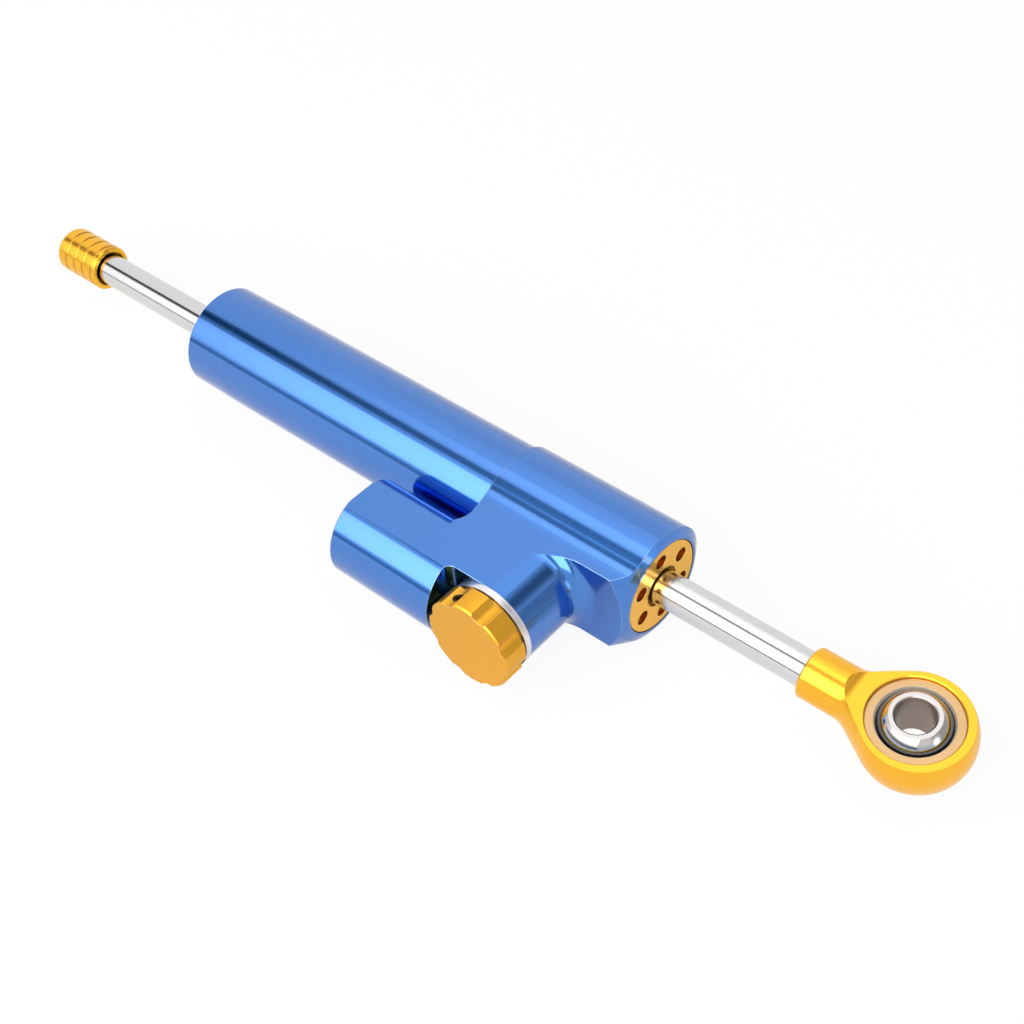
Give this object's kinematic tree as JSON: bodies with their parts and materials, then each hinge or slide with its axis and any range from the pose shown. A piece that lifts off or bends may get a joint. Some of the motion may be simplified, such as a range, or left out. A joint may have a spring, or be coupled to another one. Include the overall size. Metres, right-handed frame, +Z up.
{
  "type": "motorcycle steering damper",
  "caption": "Linear through-rod steering damper with a side reservoir, a lobed adjuster knob, a spherical rod end eye and a ribbed cap on the rod's rear end.",
  "frame": {"origin": "centre of the ball in the rod end eye, which is the centre of its bore", "axes": "+X along the rod towards the eye, +Z up out of the housing's flat top, and -Y towards the reservoir and the knob. The eye is turned 8.36 degrees about the rod, as in the picture."},
  "size_m": [0.2664, 0.0511, 0.027],
  "materials": {
    "blue_anodised": "blue anodised, turned and milled",
    "gold_anodised": "gold anodised",
    "chrome_steel": "polished hard chrome",
    "bare_aluminium": "bare, turned",
    "bronze": "machined bronze",
    "black_rubber": "matt",
    "ptfe": "smooth seal material",
    "black_steel": "blackened",
    "brass": "turned",
    "spring_steel": "bright wire"
  },
  "bodies": {
    "body": {"housing": "blue_anodised", "damper_tube": "blue_anodised", "tube_oring": "black_rubber", "front_gland_nut": "gold_anodised", "front_guide_bush": "bronze", "front_rod_seal": "ptfe", "front_gland_oring": "black_rubber", "rear_gland_nut": "gold_anodised", "rear_guide_bush": "bronze", "rear_rod_seal": "ptfe", "rear_gland_oring": "black_rubber", "knob_washer": "bare_aluminium", "adjuster_gland": "bare_aluminium", "stem_oring": "black_rubber", "metering_jet": "brass", "detent_ball": "chrome_steel", "detent_spring": "spring_steel", "reservoir_plug": "bare_aluminium", "reservoir_plug_oring": "black_rubber", "reservoir_circlip": "spring_steel"},
    "piston_seal": {"piston_ring": "ptfe"},
    "rod": {"damper_rod": "chrome_steel", "piston": "bare_aluminium", "piston_clips": "spring_steel", "rod_end_eye": "gold_anodised", "bearing_race": "bronze", "rear_cap": "gold_anodised"},
    "ball": {"bearing_ball": "chrome_steel"},
    "knob": {"adjuster_knob": "gold_anodised", "knob_grub_screw": "black_steel", "adjuster_stem": "chrome_steel"},
    "needle": {"metering_needle": "chrome_steel"},
    "floating_piston": {"reservoir_piston": "bare_aluminium", "reservoir_piston_oring": "black_rubber"}
  },
  "joints": [
    {"name": "rod_stroke", "type": "slide", "parent": "body", "child": "piston_seal", "axis": [1, 0, 0], "range_m": [-0.035, 0.0425]},
    {"name": "rod_turn", "type": "hinge", "parent": "piston_seal", "child": "rod", "pos_m": [-0.129, 0, 0], "axis": [1, 0, 0], "continuous": true},
    {"name": "ball_tilt", "type": "hinge", "parent": "rod", "child": "ball", "pos_m": [0, 0, 0], "axis": [0, 0.9894, 0.1454], "range_deg": [-12, 12]},
    {"name": "knob_turn", "type": "hinge", "parent": "body", "child": "knob", "pos_m": [-0.0814, -0.0342, 0], "axis": [0, -1, 0], "range_deg": [-270, 270]},
    {"name": "needle_travel", "type": "slide", "parent": "body", "child": "needle", "axis": [0, 1, 0], "range_m": [-0.0004, 0.0004]},
    {"name": "floating_piston_stroke", "type": "slide", "parent": "body", "child": "floating_piston", "axis": [1, 0, 0], "range_m": [-0.005, 0.005]}
  ],
  "couplings": [
    {"joint": "needle_travel", "follows": "knob_turn", "m_per_rad": -0.000079577}
  ]
}
